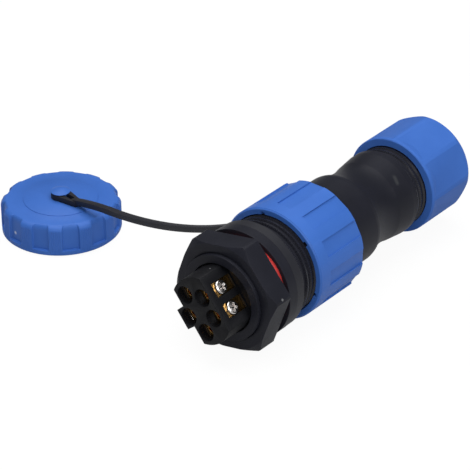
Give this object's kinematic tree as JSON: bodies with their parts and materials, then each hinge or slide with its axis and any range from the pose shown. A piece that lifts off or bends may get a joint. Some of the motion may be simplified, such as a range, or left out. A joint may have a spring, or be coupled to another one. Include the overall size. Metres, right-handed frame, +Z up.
{
  "type": "circular power connector",
  "caption": "Mated circular cable plug and panel receptacle in blue and black plastic, with screw terminals, a hexagonal panel nut, a cable gland nut and a tethered dust cap.",
  "frame": {"origin": "On the connector's axis, in the rear face of the panel gasket, where the panel's front face lies", "axes": "+X runs along the connector's axis from the panel to the cable, +Y points to the dust cap's side, +Z is up as it lies"},
  "size_m": [0.1214, 0.1299, 0.038],
  "materials": {
    "black_plastic": "satin",
    "blue_plastic": "satin",
    "black_rubber": "matte",
    "red_rubber": "matte",
    "contact_brass": "machined",
    "screw_steel": "plated"
  },
  "bodies": {
    "receptacle": {"receptacle_shell": "black_plastic", "receptacle_insert": "black_plastic", "pin_contact_1": "contact_brass", "pin_contact_2": "contact_brass", "pin_contact_3": "contact_brass", "pin_contact_4": "contact_brass", "pin_contact_5": "contact_brass", "receptacle_screws": "screw_steel", "panel_gasket": "red_rubber"},
    "panel_nut": {"jam_nut": "black_plastic"},
    "tether": {"cap_tether": "black_rubber"},
    "cap": {"dust_cap": "blue_plastic", "cap_seal": "black_rubber"},
    "plug": {"plug_shell": "black_plastic", "plug_insert": "black_plastic", "socket_contact_1": "contact_brass", "socket_contact_2": "contact_brass", "socket_contact_3": "contact_brass", "socket_contact_4": "contact_brass", "socket_contact_5": "contact_brass", "plug_screws": "screw_steel", "interface_seal": "black_rubber", "backshell": "black_plastic", "backshell_seal": "black_rubber", "gland_seal": "black_rubber", "gland_washer": "black_plastic"},
    "coupling": {"coupling_ring": "blue_plastic"},
    "gland_nut": {"cable_nut": "blue_plastic"}
  },
  "joints": [
    {"name": "jam_nut_turn", "type": "hinge", "parent": "receptacle", "child": "panel_nut", "pos_m": [0, 0, 0], "axis": [1, 0, 0], "range_deg": [-360, 0]},
    {"name": "tether_swivel", "type": "hinge", "parent": "receptacle", "child": "tether", "pos_m": [0.0071, 0, 0], "axis": [1, 0, 0], "continuous": true},
    {"name": "cap_turn", "type": "hinge", "parent": "tether", "child": "cap", "pos_m": [0.0184, 0.0903, -0.0069], "axis": [0, 0, 1], "continuous": true},
    {"name": "plug_slide", "type": "slide", "parent": "receptacle", "child": "plug", "axis": [1, 0, 0], "range_m": [0, 0.014]},
    {"name": "coupling_turn", "type": "hinge", "parent": "plug", "child": "coupling", "pos_m": [0.0373, 0, 0], "axis": [1, 0, 0], "range_deg": [0, 2520]},
    {"name": "cable_nut_turn", "type": "hinge", "parent": "plug", "child": "gland_nut", "pos_m": [0.086, 0, 0], "axis": [1, 0, 0], "range_deg": [0, 360]}
  ],
  "couplings": [
    {"joint": "coupling_turn", "follows": "plug_slide", "rad_per_m": 3141.6}
  ]
}
